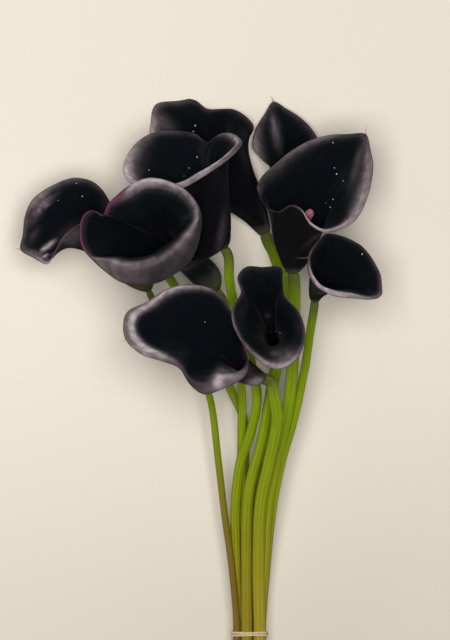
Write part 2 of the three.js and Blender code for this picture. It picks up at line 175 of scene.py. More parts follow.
add_calla(
    "left_front", foot=(11.7, 104, 32), aim=(-0.55, 0.8, 0.1), radius=2.5, tied=(30.2, 14.9),
    cut=(-218, 14), spadix=(-14, 127.5, 76), reach=(0.38, 0.42), bulge=0.04, low=[(2, 2, 0, 1)],
    high=[(-2, -14, 0, -1)], belly=5, seam=7, overlap=(0.05, 0.015), notch=0, fade=0.16, turn=102,
    stem=[
        (19, 88, 32), (23, 72, 33.5), (25.5, 56, 34.5), (26.9, 38, 35), (26.4, 20, 33), (26.7, -24, 27),
        (29.8, -64, 20.5),
    ],
    rim=[
        (3, 149, 104, 55, 3, 168, 2, -1), (0, 158, 101, 65, 2.5, 165, 0, -1),
        (-10, 167, 99, 70, 2.5, 160, 0, -0.5), (-28, 172, 97, 80, 4, 160), (-40, 168, 97, 80, 5, 160),
        (-48, 162, 98, 90, 4.5, 160), (-54, 156, 99, 110, 3, 165), (-57, 149, 102, 90, 0.7, 110),
        (-63, 152, 101, 80, 0.8, 120), (-68, 149, 100, 70, 1, 120), (-70, 142, 100, 60, 1, 120),
        (-69, 131, 103, 50, 1, 110), (-63, 123, 108, 30, 1, 115), (-46, 119, 115, 5, 6, 172, 12, 5),
        (-28, 121, 119, 0, 7, 172, 13, 7), (-12, 130, 117, 0, 7.5, 172, 12, 6.5),
        (-2, 139, 111, 15, 5.5, 170, 6, 2),
    ],
    bloom=[
        (1.5, 0.4, 17, 3), (1.5, 0.4, 17, 5), (2, 0.4, 25, 20), (2, 0.4, 48, 36), (2.5, 1.5, 35, 28),
        (2, 8, 12, 10), (1.5, 7, 8, 5), (1, 1.7, 5), *[(1, 1.1, 3)] * 3, (1, 1.2, 4), (1.2, 1.2, 12, 10),
        (1.3, 0.8, 22, 10), (1.3, 0.8, 8, 3.5), (1.5, 0.6, 14, 3.5), (1.5, 0.5, 18, 3),
    ],
)
add_calla(
    "upper", foot=(15.9, 130, 66), aim=(-0.35, 0.75, 0.35), radius=3, tied=(24.2, 17.9), cut=(-212, 19),
    spadix=(-1.5, 174, 76), reach=(0.3, 0.4), low=[(-14, -37, 3, 1), (7, -1, 0, 1)], high=[(-8, -28, 3, 1)],
    seam=3, outside="start", notch=0.05, fade=0.07, turn=80, blush=0.8,
    gleams=[(221.5, 234, 12, 2.2, 82, 3)],
    drops=[(197, 157, 0.38), (149, 170, 0.32), (189, 168, 0.25), (184, 176, 0.2)],
    stem=[
        (19, 112, 60.5), (21.3, 98, 58), (27.9, 77, 53), (33.9, 53, 49), (35.7, 38, 47), (31.5, 17, 43),
        (26.1, 2, 39), (22.8, -24, 33), (23.2, -58, 22.5),
    ],
    rim=[
        (27, 194, 84, 60, 2.5, 160, 0, -0.9), (22, 198, 80, 80, 1.8, 140, 0, -0.2),
        (15, 198, 76, 90, 1.5, 120), (6, 193, 72, 60, 0.8, 90), (-1, 198, 66, 80, 1.5, 110),
        (-12, 200, 62, 90, 1.5, 110), (-26, 199, 58, 90, 2, 120), (-37, 193, 57, 90, 3, 140),
        (-44, 182, 60, 90, 2.5, 130), (-44, 173, 66, 80, 2.5, 140), (-36, 166, 72, 50, 2.5, 150),
        (-24, 164, 78, 20, 3, 168), (-10, 166, 86, 5, 2.8, 168), (3, 173, 95, 5, 2.8, 168),
        (15, 181, 97, 15, 2.8, 168), (23, 188, 92, 30, 2.8, 168),
    ],
    bloom=[
        (1.4, 0.5, 33, 12), (2, 0.8, 14, 10), (2, 0.8, 8, 6), (1, 1, 3), (1, 1.2, 3), (2, 1, 4),
        (2.5, 0.6, 6), (4, 0.4, 14), (4.5, 0.4, 34, 30), (5, 0.3, 42, 35), (4, 0.3, 30, 25),
        (2, 0.4, 30, 20), (2, 0.4, 35, 20), (1.6, 0.4, 38, 22), (1.5, 0.4, 34, 12), (1.4, 0.4, 32, 6),
    ],
)
add_calla(
    "top_back", foot=(40.5, 139, 6), aim=(-0.35, 0.9, 0.1), radius=3.6, tied=(31, 6.9), cut=(-220, 3.6),
    spadix=(16.5, 174.9, 11.1), seam=9, tips=[(4.3, 1, 7)], gleams=[(163, 122, 7, 4, -35, 7)],
    drops=[(195, 124, 0.42), (193, 130, 0.38)],
    stem=[
        (45.5, 128, 6.5), (49.3, 117, 10), (52.2, 105, 15), (52.3, 85, 22), (48.5, 65, 27.5),
        (44.1, 41, 29.5), (38.7, 8, 26), (35.1, -24, 22.5), (34, -64, 15),
    ],
    rim=[
        (34, 203, 17, 60, 0.8, 80), (28.5, 210, 9, 90, 0.8, 95), (21, 214, 4, 90, 1, 100),
        (6, 214, 4, 80, 1, 100), (-1.5, 219, 1, 90, 1, 100), (-13.5, 219, 0, 90, 1.5, 110),
        (-25.5, 217, 1, 90, 2.5, 130), (-28.5, 205, 5, 90, 3, 140), (-29, 197, 9, 90, 3, 140),
        (-25.5, 188, 17, 40, 1.5, 110), (-16.5, 182, 23, 0, 0.8, 70), (-1.5, 182, 27, -20, 0.8, 60),
        (15, 185, 27, -20, 0.8, 60), (25.5, 190, 25, -10, 0.8, 60), (31.5, 197, 21, 20, 0.8, 60),
    ],
    bloom=[
        (1.5, 0.5, 2), (1.5, 0.8, 3), (1.5, 1, 3), (1.5, 0.8, 4), (2, 1, 6), (2.5, 1, 8), (2.5, 0.8, 7),
        (2, 0.5, 20), (3.5, 0.4, 45, 40), (3, 0, 30), (1, 0, 2), *[(1, 0, 0)] * 4,
    ],
)
add_calla(
    "far_left", foot=(-29.5, 104, 43), aim=(-0.42, 0.92, 0.1), radius=2.1, tied=(23.6, 23.6),
    cut=(-214, 26), spadix=(-58.7, 134, 50.4), reach=(0.5, 0.4), bulge=0.15,
    low=[(-12, -7, 2, 1), (9, 2, 0, 1)], high=[(-3, -15, 0, -1)], belly=2.5, seam=13, fade=0.25, brown=0.85,
    hairs=[(8, 4.5, (-1, 0.25, 0.2), 1)],
    gleams=[
        (39, 199, 6, 2.2, 42, 12), (45, 203, 7, 1.2, 38, 10), (41, 208, 6, 0.8, 36, 10),
        (37, 214, 8, 2, 55, 5), (33, 236, 5, 2, 60, 3), (48.5, 245.5, 3.6, 1.2, 42, 40),
        (43, 249, 1.8, 0.8, 60, 40), (45.5, 256, 2.2, 0.5, 10, 35), (73, 236, 7, 5, 50, 6),
    ],
    drops=[(82, 196, 0.35), (76, 183, 0.28), (58, 200, 0.2)],
    stem=[
        (-21, 90, 42), (-15.3, 83, 42.5), (-2.1, 62, 42.5), (7.2, 40, 40), (12.5, 1, 33), (16, -29, 30),
        (20.4, -61, 28),
    ],
    rim=[
        (-51, 149, 60, 30, 1, 90), (-54, 160, 56, 60, 1, 100), (-62, 169, 53, 80, 1.2, 110),
        (-74, 172, 50, 90, 1.5, 110), (-88, 167, 48, 90, 1.5, 110), (-99, 159, 47, 90, 1.5, 115),
        (-104, 149, 47, 90, 2, 125), (-106, 137, 48, 90, 2.5, 135, 0, -0.5),
        (-108, 128, 50, 90, 2.5, 135, 0, -2), (-99, 124, 54, 80, 3, 135), (-90, 120, 58, 60, 1.5, 115),
        (-85, 128, 60, 20, 1, 80), (-80, 137, 64, -15, 0.8, 60), (-69, 145, 68, -25, 0.8, 50),
        (-58, 145, 67, -20, 0.8, 50),
    ],
    bloom=[
        (1.5, 0.6, 3), (1.5, 0.6, 3), (1.5, 0.5, 5), (2, 0.4, 7), (2, 0.5, 10), (2.5, 0.6, 13, 10),
        (2, 1, 7, 5), (1.5, 1.2, 5), (1.5, 1, 6), (1.5, 0.6, 12), (1.5, 0.4, 30), (1.5, 0.5, 22, 20),
        (1.5, 0.8, 12, 10), (1.5, 1.6, 6), (1, 1.4, 3),
    ],
)
add_calla(
    "lower_left", foot=(38.7, 51.6, 85), aim=(-0.7, 0.3, 0.6), radius=3.6, tied=(37.1, 24.2),
    cut=(-216, 24), spadix=(13.4, 65.7, 100.3), reach=(0.3, 0.4), bulge=0.08, low=[(3, -9, 2, 1)],
    high=[(2, -4, 0, 1)], seam=0.5, overlap=(0.06, 0.03), turn=95, hairs=[(9.9, 3.5, (-0.8, -0.6, 0.1), 1)],
    drops=[(205, 322, 0.2)],
    gleams=[(219, 379, 5, 2.8, 75, 32), (231, 374, 7.5, 2.6, 14, 20), (257, 382, 6, 2.6, 12, 20)],
    stem=[
        (46.5, 38, 77.5), (47.9, 29, 74), (47.1, 21, 70), (42.3, -2, 60), (37.8, -24, 52),
        (36.6, -58, 37.5),
    ],
    rim=[
        (31, 62, 112, 20, 1.2, 100), (28, 72, 107, 30, 1, 80), (24, 82, 104, 45, 1, 80),
        (20, 92, 103, 60, 1, 90), (13, 102, 103, 70, 1.2, 110), (2, 107, 104, 80, 1.5, 130),
        (-16, 106, 105, 80, 2.5, 145), (-30, 98, 106, 90, 4, 155), (-42, 92, 106, 100, 7, 168),
        (-44, 85, 106, 110, 8, 170, 2, 0), (-42, 76, 108, 110, 8, 170, 2, 0), (-33, 67, 111, 100, 6.5, 168),
        (-20, 62, 114, 90, 3.5, 155), (-11, 58, 117, 70, 2.5, 145), (-4, 48, 120, 60, 4, 150),
        (4, 43, 121, 60, 7.5, 168), (15, 46, 120, 60, 6.5, 160), (28, 53, 117, 30, 3, 140),
    ],
    bloom=[
        (1, 0.4, 5), (1, 1, 2), (1, 0.5, 2), (1, 0.4, 3), (1.2, 0.3, 6), (1.3, 0.3, 20, 12),
        (1.5, 0.3, 38, 25), (1.5, 0.4, 32, 20), (1.1, 0.6, 38, 13), (1, 0.6, 38, 13), (1.1, 0.6, 38, 14),
        (1.3, 0.4, 38, 25), (1.2, 0.4, 20, 12), (1, 0.4, 5), (1, 0.4, 4), (1, 0.4, 4, 5), (2.5, 0.4, 12),
        (2, 0.4, 6),
    ],
)
add_calla(
    "lower_front", foot=(47, 68, 62), aim=(-0.1, 0.35, 0.9), radius=3.5, tied=(29.6, 23.6), cut=(-220, 22),
    spadix=(43.7, 80.1, 96.1), bulge=0.08, seam=4.4, notch=0.06, turn=106, brown=0.35,
    gleams=[
        (283, 356, 8, 5, 10, 4), (275, 353.5, 2.6, 1.5, 5, 5), (288, 358, 4.5, 2.2, 30, 7),
        (267.5, 314.5, 1.9, 1.5, 0, 3.5),
    ],
    drops=[(279.7, 332.8, 0.38), (275.6, 331.8, 0.28)],
    stem=[
        (47.8, 60, 47), (46, 50, 45.5), (43.5, 38, 46.5), (38.9, 14, 45), (31.5, -14, 40), (29.8, -34, 36),
        (29.5, -64, 29),
    ],
    rim=[
        (64, 82, 118, 60, 1.5, 130), (60, 92, 116, 60, 1.5, 120), (52, 101, 115, 50, 1.2, 100),
        (51, 110, 114, 60, 1, 90), (50, 118, 113, 80, 1.2, 110), (39, 118, 113, 90, 1.2, 110),
        (29, 118, 113, 90, 1.2, 110), (24, 112, 113, 80, 1.2, 120), (26, 103, 115, 60, 1.3, 130),
        (21, 94, 118, 60, 1.4, 145), (21, 85, 121, 60, 1.5, 150), (26, 74, 124, 50, 1.5, 150),
        (35, 64, 127, 45, 3, 155), (45, 58, 128, 50, 3.5, 160), (56, 60, 127, 60, 4, 155),
        (63, 70, 122, 60, 2.5, 140),
    ],
    bloom=[
        (1.2, 0.8, 6), (1.2, 0.5, 3), (1, 0.4, 2), (1, 0.4, 2), (2, 0.5, 3), (2, 0.5, 4), (2, 0.5, 4),
        (1.5, 0.4, 5), (1, 0.3, 3), (0.6, 0.3, 5), (0.6, 0.3, 13, 10), (0.6, 0.4, 7, 6), (0.6, 0.5, 12, 10),
        (0.9, 0.4, 28, 26), (1, 0.5, 20), (0.8, 0.9, 5),
    ],
)
add_calla(
    "right_big", foot=(57.5, 115, 55), aim=(-0.1, 0.95, 0.25), radius=3.7, tied=(37, 16), cut=(-215, 15),
    spadix=(68.5, 152.4, 74), reach=(0.3, 0.4), bulge=0.08, low=[(14, -4, 0, 1), (-4, 0, 0, 1)],
    high=[(-18, 3, 0, 1)], seam=11, outside="start", overlap=(0.3, 0.07), notch=0.05, fade=0.08, turn=88,
    blush=1, knob=1.4, tips=[(2, 1.6, 9)], hairs=[(2, 6, (-0.1, 1, 0.3), 1)],
    gleams=[(357, 164, 12, 2, 75, 4.5)],
    drops=[
        (333, 142.6, 0.35), (334.4, 168, 0.32), (336.5, 174, 0.42), (343, 181, 0.25), (333, 199.4, 0.35),
        (330.2, 207.2, 0.38), (326, 203, 0.2),
    ],
    stem=[
        (58, 85, 51), (57.5, 65, 52), (56.5, 50, 53), (54.5, 35, 53), (51, 18, 50), (47.5, 5, 47),
        (42.1, -24, 42), (39.3, -64, 27),
    ],
    rim=[
        (105, 176, 78, 80, 4, 150), (104, 187, 74, 90, 4, 140), (100, 197, 72, 95, 1.5, 95),
        (88, 198, 68, 95, 2, 110), (76, 197, 66, 95, 2.5, 120), (62, 192, 64, 100, 3.5, 135),
        (47, 181, 64, 105, 4, 140), (39, 173, 66, 105, 4, 130), (36, 166, 70, 100, 2, 100),
        (39, 157, 80, 60, 0.8, 60), (48, 151, 92, 10, 0.8, 50), (56, 155, 96, 0, 0.8, 80),
        (63, 154, 98, 10, 1, 120, 0, 3.5), (68, 146, 99, 20, 1.2, 155, 0, 3.5),
        (76, 140, 98, 40, 1.3, 165, 0, 0.8), (88, 142, 94, 60, 1.8, 165), (98, 152, 88, 70, 3, 160),
    ],
    bloom=[
        (3, 0.8, 17, 16), (2, 0.8, 11), (2, 0.6, 8), (2, 0.8, 8), (2.2, 0.6, 14), (3.5, 0.4, 12),
        (4, 0.4, 10, 9), (3.5, 0.4, 7, 6), (2.5, 0.3, 8, 6), (1, 0.2, 4), (1, 0.35, 4), (1, 0.45, 2),
        (1, 0.4, 12), (1.2, 0.3, 40, 25), (1.2, 0.3, 28, 20), (1.6, 0.4, 26, 20), (3, 0.5, 22, 20),
    ],
)
add_calla(
    "right_low", foot=(70.5, 98, 62), aim=(0.1, 0.85, 0.5), radius=2.6, tied=(38.8, 9.5), cut=(-213, 9),
    spadix=(79.1, 110.3, 77.2), bulge=0.1, seam=6.3, notch=0.05, turn=80, tips=[(11.3, 1.2, 8)],
    hairs=[(6.2, 7, (-1, -0.12, 0.1), 0.25)], drops=[(361.8, 254.2, 0.38)],
    stem=[
        (67.5, 78, 54), (65, 60, 52), (63, 50, 51), (60, 35, 48), (55.6, 18, 45), (51.7, 5, 41.5),
        (45.7, -24, 36), (41.4, -64, 20),
    ],
    rim=[
        (110, 112, 84, 80, 1.5, 120), (106, 121, 82, 85, 1.5, 115), (98, 131, 79, 85, 1.2, 110),
        (86, 137, 77, 80, 1.2, 110), (77.5, 138, 74, 70, 1, 100), (71.5, 133, 80, 50, 0.8, 80),
        (66.5, 125.5, 88, 20, 0.8, 100), (66, 116, 96, 15, 1.4, 155), (71, 107, 99, 20, 1.8, 165),
        (80, 102, 99, 35, 2, 165), (92, 100, 97, 50, 2, 165), (108, 100, 90, 80, 1.5, 135),
    ],
    bloom=[
        (1, 1, 5), (1, 0.8, 4), (1, 0.4, 3), (1, 0.3, 3), (1, 0.3, 3), (1, 0.6, 5), (1.5, 1, 20, 16),
        (1.5, 1.4, 30, 20), (1.5, 0.8, 42, 28), (1.4, 0.5, 36, 30), (1.2, 0.5, 30, 25), (0.8, 0.6, 8),
    ],
)
add_calla(
    "upper_right", foot=(57, 138, 3.4), aim=(-0.1, 0.95, 0.1), radius=2.5, tied=(38, 4), cut=(-219, 2.5),
    spadix=(55.3, 171, 9.8), seam=10, tips=[(4, 1.6, 9)], hairs=[(4, 4, (-0.15, 1, 0.3), 1)],
    gleams=[(276, 130, 10, 2.6, 100, 7), (274, 122, 5, 1, 95, 4)],
    stem=[
        (57.8, 118, 4.5), (58.2, 98, 8), (57.2, 68, 15), (54, 38, 20), (47.7, 8, 19), (42.3, -24, 17),
        (39.3, -64, 10),
    ],
    rim=[
        (75, 188, 13.4, 60, 1.2, 100), (71, 199, 11.4, 80, 1.2, 110), (63, 208, 8.4, 90, 1.2, 110),
        (54, 214, 6.4, 90, 1.2, 105), (46, 217, 5.4, 90, 1, 95), (40, 210, 5.4, 90, 2, 120),
        (35, 202, 6.4, 90, 2.5, 130), (33, 191, 9.4, 80, 3, 130), (38, 184, 14.4, 60, 1.5, 90),
        (44, 179, 21.4, 10, 0.8, 60), (54, 175, 27.4, -30, 0.8, 50), (66, 179, 25.4, -20, 0.8, 60),
    ],
    bloom=[
        (2, 1, 10), (2, 1, 6), (2, 0.8, 4), (2, 0.5, 5), (2, 0.4, 5), (2, 0.4, 5), (3, 0.4, 8),
        (3, 0.3, 22, 20), (3, 0.2, 10), *[(1, 0, 0)] * 3,
    ],
)
add_calla(
    "hidden_back", foot=(-22.5, 121, 2.9), aim=(-0.4, 0.8, 0.2), radius=2.7, tied=(24.2, 5.4),
    cut=(-217, 2.7), spadix=(-32.9, 135.2, 9.8), bulge=0.1, seam=8, fade=0.2, turn=90, brown=0.6,
    stem=[
        (-15.3, 109, 4), (1.5, 79, 9), (20.1, 44, 19), (27.3, 28, 22), (28.5, 5, 21), (27.3, -24, 18),
        (26.1, -64, 13),
    ],
    rim=[
        (-24, 139, 18.7, 20, 1.2, 110), (-24, 149, 14.7, 50, 1.2, 110), (-30, 158, 10.7, 70, 1.2, 110),
        (-39, 162, 8.7, 80, 1.2, 110), (-49, 160, 8.7, 80, 1.2, 110), (-55, 151, 10.7, 80, 1.2, 110),
        (-55, 140, 13.7, 60, 1.2, 110), (-49, 132, 17.7, 30, 1.2, 110), (-39, 128, 20.7, -20, 1.2, 110),
        (-30, 131, 20.7, -20, 1.2, 110),
    ],
    bloom=[(1.5, 0.6, 8)] * 10,
)


# ---- Curves ----
def unit(v):
    return v / np.maximum(np.linalg.norm(v, axis=-1, keepdims=True), 1e-12)


def smoothstep(x, low=0.0, high=1.0):
    x = np.clip((x - low) / (high - low), 0, 1)
    return x * x * (3 - 2 * x)


def circle(sides):
    """Evenly spaced angles round a circle."""
    return np.linspace(0, 2 * math.pi, sides, endpoint=False)


def lengths(line):
    """How far along a line, or along each row of a grid, its points lie."""
    steps = np.linalg.norm(np.diff(line, axis=-2), axis=-1)
    return np.insert(np.cumsum(steps, axis=-1), 0, 0, axis=-1)


def catmull(points, t, closed=False):
    """Points on the centripetal Catmull-Rom curve, at t counted in points."""
    p = np.asarray(points, float)[:, :3]
    before, after = (p[-1:], p[:2]) if closed else (2 * p[:1] - p[1:2], 2 * p[-1:] - p[-2:-1])
    p = np.vstack([before, p, after])
    i = np.clip(np.floor(t).astype(int), 0, len(p) - 4)
    w = (t - i)[:, None]
    a, b, c, d = (p[i + k] for k in range(4))
    ta, tb, tc = (
        np.sqrt(np.linalg.norm(q - o, axis=1, keepdims=True)) for o, q in ((a, b), (b, c), (c, d))
    )
    m1 = tb * ((b - a) / ta - (c - a) / (ta + tb) + (c - b) / tb)
    m2 = tb * ((c - b) / tb - (d - b) / (tb + tc) + (d - c) / tc)
    w2, w3 = w * w, w * w * w
    return (2 * w3 - 3 * w2 + 1) * b + (w3 - 2 * w2 + w) * m1 + (3 * w2 - 2 * w3) * c + (w3 - w2) * m2


def even_steps(points, count, closed=False):
    """count values of t, evenly spaced along the curve, and the curve's length."""
    spans = len(points) if closed else len(points) - 1
    t = np.linspace(0, spans, spans * CURVE_STEPS + 1)
    run = lengths(catmull(points, t, closed))
    share = np.linspace(0, 1, count, endpoint=not closed)
    return np.interp(share * run[-1], run, t), run[-1]


def read_ring(values, x):
    """A ring of numbers or points, read at places x counted in its entries."""
    i = np.floor(x).astype(int)
    w = (x - i)[..., None] if values.ndim == 2 else x - i
    return values[i % len(values)] * (1 - w) + values[(i + 1) % len(values)] * w


def smooth_ring(values, reach):
    """A ring of numbers, each averaged with its neighbours with a bell of that reach."""
    offsets = np.arange(-3 * reach, 3 * reach + 1)
    bell = np.exp(-0.5 * (offsets / reach) ** 2)
    bell /= bell.sum()
    return sum(b * np.roll(values, -o, axis=0) for o, b in zip(offsets, bell))


# ---- The layout's frame ----
def find_shift():
    """The layout's frame less the row's frame, from where the rubber band is."""
    low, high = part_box("rubber_band")
    reach = BAND_GAP + BAND_THICKNESS
    left, bottom = (min(c["tied"][k] - c["radius"] for c in CALLAS.values()) - reach for k in (0, 1))
    return np.array([left - low.x / MM, BAND_Y - (low.y + high.y) / 2 / MM, bottom - low.z / MM])


SHIFT = find_shift()


def photo_place(x, y):
    """The layout's x and y at a pixel of the photograph."""
    return (x - ORIGIN_PIXEL[0]) * MM_PER_PIXEL, (ORIGIN_PIXEL[1] - y) * MM_PER_PIXEL


# ---- Meshes ----
def add_object(name, data):
    made = bpy.data.objects.new(name, data)
    bpy.context.scene.collection.objects.link(made)
    return made


class Shape:
    """Collects vertices with their attributes, and faces, for one mesh."""

    def __init__(self, *keys):
        self.verts, self.faces, self.count = [], [], 0
        self.values = {key: [] for key in keys}

    def add(self, verts, faces, **values):
        verts = np.asarray(verts, float).reshape(-1, 3)
        self.verts.append(verts)
        self.faces += [tuple(int(i) + self.count for i in face) for face in faces]
        for key, listed in self.values.items():
            listed.append(np.broadcast_to(np.ravel(values.get(key, 0.0)), len(verts)))
        self.count += len(verts)

    def make(self, name, node, material):
        mesh = bpy.data.meshes.new(name)
        points = (np.concatenate(self.verts) - SHIFT) * MM
        mesh.from_pydata([tuple(p) for p in points], [], self.faces)
        mesh.validate()
        mesh.update()
        for key, listed in self.values.items():
            layer = mesh.attributes.new(key, "FLOAT", "POINT")
            layer.data.foreach_set("value", np.concatenate(listed).astype(np.float32))
        mesh.shade_smooth()
        mesh.materials.append(material)
        made = add_object(name, mesh)
        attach(made, "root")
        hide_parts(node)


def quads(rows, columns, ring=False, closed=False, flip=False):
    """Quads over a grid of vertices stored row by row. ring joins the ends of each row, and
    closed joins the last row to the first."""
    r = np.arange(rows if closed else rows - 1)[:, None]
    c = np.arange(columns if ring else columns - 1)
    here, after, beside = r * columns, (r + 1) % rows * columns, (c + 1) % columns
    made = np.stack([here + c, here + beside, after + beside, after + c], 2).reshape(-1, 4)
    return made[:, [0, 3, 2, 1]] if flip else made


def grid_normals(grid):
    """Unit normals of a grid of points, from its rows crossed with its columns."""
    return unit(np.cross(np.gradient(grid, axis=0), np.gradient(grid, axis=1)))


def frames_along(line):
    """Unit cross directions that don't twist along the line."""
    tangent = unit(np.gradient(line, axis=0))
    side = np.zeros_like(line)
    start = np.cross(tangent[0], [0, 0, 1])
    if np.linalg.norm(start) < 0.2:
        start = np.cross(tangent[0], [1, 0, 0])
    side[0] = unit(start)
    for i in range(1, len(line)):
        side[i] = unit(side[i - 1] - tangent[i] * np.dot(side[i - 1], tangent[i]))
    return side, np.cross(tangent, side)


def tube(line, radius):
    """A closed tube round a line. radius has a row for each point and a column for each side."""
    rows, sides = radius.shape
    angle = circle(sides)[None, :, None]
    side, other = (across[:, None] for across in frames_along(line))
    body = line[:, None] + (np.cos(angle) * side + np.sin(angle) * other) * radius[..., None]
    ends = [range(sides)[::-1], range((rows - 1) * sides, rows * sides)]
    return body, [*quads(rows, sides, ring=True), *ends]


def drop_shape(place, normal, radius):
    """A small dome of water, sunk a little into what it sits on."""
    across, other = (side[0] for side in frames_along(np.stack([place, place + normal])))
    polar = np.linspace(0, math.pi, DROP_RINGS + 2)[1:-1, None, None]
    angle = circle(DROP_SIDES)[None, :, None]
    pole = normal * DROP_HEIGHT
    rings = (across * np.cos(angle) + other * np.sin(angle)) * np.sin(polar) + pole * np.cos(polar)
    verts = place + radius * np.vstack([rings.reshape(-1, 3), pole, -pole])
    last, top = (DROP_RINGS - 1) * DROP_SIDES, DROP_RINGS * DROP_SIDES
    faces = [*quads(DROP_RINGS, DROP_SIDES, ring=True, flip=True)]
    for k in range(DROP_SIDES):
        m = (k + 1) % DROP_SIDES
        faces += [(k, m, top), (last + m, last + k, top + 1)]
    return verts, faces


# ---- Spathe ----
def look_up(table, u):
    """A table of the rim, read at shares u of the way round."""
    return read_ring(table, u % 1 * RIM_TABLE)


class Funnel:
    """The surface that a spathe's sheet follows: its wall, then the lip that rolls out of it."""

    def __init__(self, calla):
        self.calla = calla
        rim = np.array([(*row, 0, 0)[:8] for row in calla["rim"]], float)
        bloom = np.array([(*row, row[-1])[:4] for row in calla["bloom"]], float)
        self.rim_t, self.length_round = even_steps(rim, RIM_TABLE, True)
        self.rim = catmull(rim, self.rim_t, True)
        self.flare = self.table(np.radians(rim[:, 3]), FLARE_REACH)
        self.lip, self.bloom = self.table(rim[:, 4:], LIP_REACH).T, self.table(bloom, LIP_REACH).T
        self.foot, self.aim = np.array(calla["foot"], float), unit(np.array(calla["aim"], float))
        coarse = self.rim[:: RIM_TABLE // COARSE]
        self.centre = coarse.mean(0)
        arms = coarse - self.centre
        self.facing = unit(np.cross(arms, np.roll(arms, -1, 0)).sum(0))
        self.ahead = unit(self.facing + self.aim)
        self.tilt = np.array(Vector(self.facing).rotation_difference(Vector(self.aim)).to_matrix())
        self.length = np.linalg.norm(self.centre - self.foot)
        self.soft_rim = smooth_ring(self.rim, SOFT_REACH)
        arm = self.soft_rim - self.centre
        self.outward = unit(arm - (arm @ self.facing)[:, None] * self.facing)
        for index, height, half_width in calla["tips"]:
            off = (np.arange(RIM_TABLE) / RIM_TABLE - self.share_of_point(index) + 0.5) % 1 - 0.5
            near = np.clip(1 - np.abs(off) * self.length_round / half_width, 0, 1) ** TIP_EASE
            self.rim = self.rim + self.outward * (height * near)[:, None]

    def table(self, values, reach):
        """What is given at the rim's points, smoothly spread round the rim."""
        return smooth_ring(read_ring(values, self.rim_t), reach)

    def share_of_point(self, index):
        """How far round the rim its given point lies."""
        run = np.append(self.rim_t, len(self.calla["rim"]))
        return float(np.interp(index, run, np.arange(RIM_TABLE + 1) / RIM_TABLE))

    def swell(self, key, outward):
        """The shift of the sheet by all of the low or the high pushes."""
        total = 0
        for x, y, z, way in self.calla[key]:
            push = np.array([x, y, z], float)
            total = total + way * push * np.maximum(outward @ unit(push), 0)[..., None]
        return total

    def lip_path(self, u, start, share):
        """How far out and up the lip has gone at a share of its length, its farthest reach
        out and up, how far out of the rim it stands, and how far it has rolled over."""
        roll, over, skirt, stand = (look_up(table, u) for table in self.lip)
        end = np.maximum(np.radians(over), start + 0.05)
        arc = roll * (end - start)
        whole = arc + skirt
        k = np.arange(LIP_SLICES).reshape(-1, *[1] * start.ndim)
        turned = np.clip((k + 0.5) / LIP_SLICES * whole / arc, 0, 1) ** LIP_EASE
        turn = start + (end - start) * turned
        slices = np.stack([np.sin(turn), np.cos(turn)]) * whole / LIP_SLICES
        gone = (slices * np.clip(share * LIP_SLICES - k, 0, 1)).sum(1)
        farthest = np.maximum(slices.cumsum(1).max(1), 0)
        pointing = start + (end - start) * np.clip(share * whole / arc, 0, 1) ** LIP_EASE
        flat = np.maximum(start, math.radians(self.calla["turn"]))
        return *gone, *farthest, stand, np.clip(np.degrees(pointing - flat) / CURL_SPAN, 0, 1)

    def surface(self, u, v):
        """Points at share u round and v along, 0 to 1 on the wall and 1 to 2 on the lip, and
        how far the lip has rolled over there."""
        flare, outward = look_up(self.flare, u)[..., None], unit(look_up(self.outward, u))
        foot_out = outward @ self.tilt.T
        low_reach, high_reach = self.calla["reach"]
        start = self.foot + foot_out * self.calla["radius"]
        rise = start + self.length * (self.aim * low_reach + foot_out * self.calla["bulge"])
        rise = rise + self.swell("low", foot_out)
        flight = self.ahead * np.cos(flare) + outward * np.sin(flare)
        leaves = np.arctan2((flight * outward).sum(-1), flight @ self.facing)
        out, up, far, high, stand, curl = self.lip_path(u, leaves, np.clip(v - 1, 0, 1))
        back = outward * (stand - far)[..., None] - self.facing * high[..., None]
        top, soft_top = look_up(self.rim, u) + back, look_up(self.soft_rim, u) + back
        arrive = soft_top - flight * self.length * high_reach + self.swell("high", outward)
        b = np.clip(v, 0, 1)[..., None]
        wall = (1 - b) ** 3 * start + 3 * b * (1 - b) ** 2 * rise + 3 * b * b * (1 - b) * arrive + b**3 * top
        belly = b / BELLY_HEIGHT * np.exp(1 - b / BELLY_HEIGHT)
        wall = wall + foot_out * belly * self.calla["belly"]
        return wall + outward * out[..., None] + self.facing * up[..., None], curl


SHEET_KEYS = ("around", "along", "bloom", "rose", "green", "inside", "drop", "dry")


def waves(seed, u, q):
    """Slight waves over the sheet, stronger towards its rim."""
    rng = np.random.default_rng(seed)
    total = 0
    for count in (3, 5, 8, 13):
        phase, lean = rng.uniform(0, 2 * math.pi), rng.uniform(-2, 2)
        total = total + np.sin(2 * math.pi * count * u + phase + lean * q) / count**0.7
    return WAVE_HEIGHT * total * smoothstep(q, 0.1, 1.0)


def gleam(calla, points):
    """How pale the painted highlight and sheen patches make the sheet at each of its points."""
    total = np.zeros(points.shape[:2])
    for x, y, long, wide, lean, percent in calla["gleams"]:
        off = points[..., :2] - photo_place(x, y)
        c, s = math.cos(math.radians(lean)), math.sin(math.radians(lean))
        a, b = off @ (c, s) / long, off @ (-s, c) / wide
        total += percent / 100 * np.exp(-a * a - b * b)
    return total


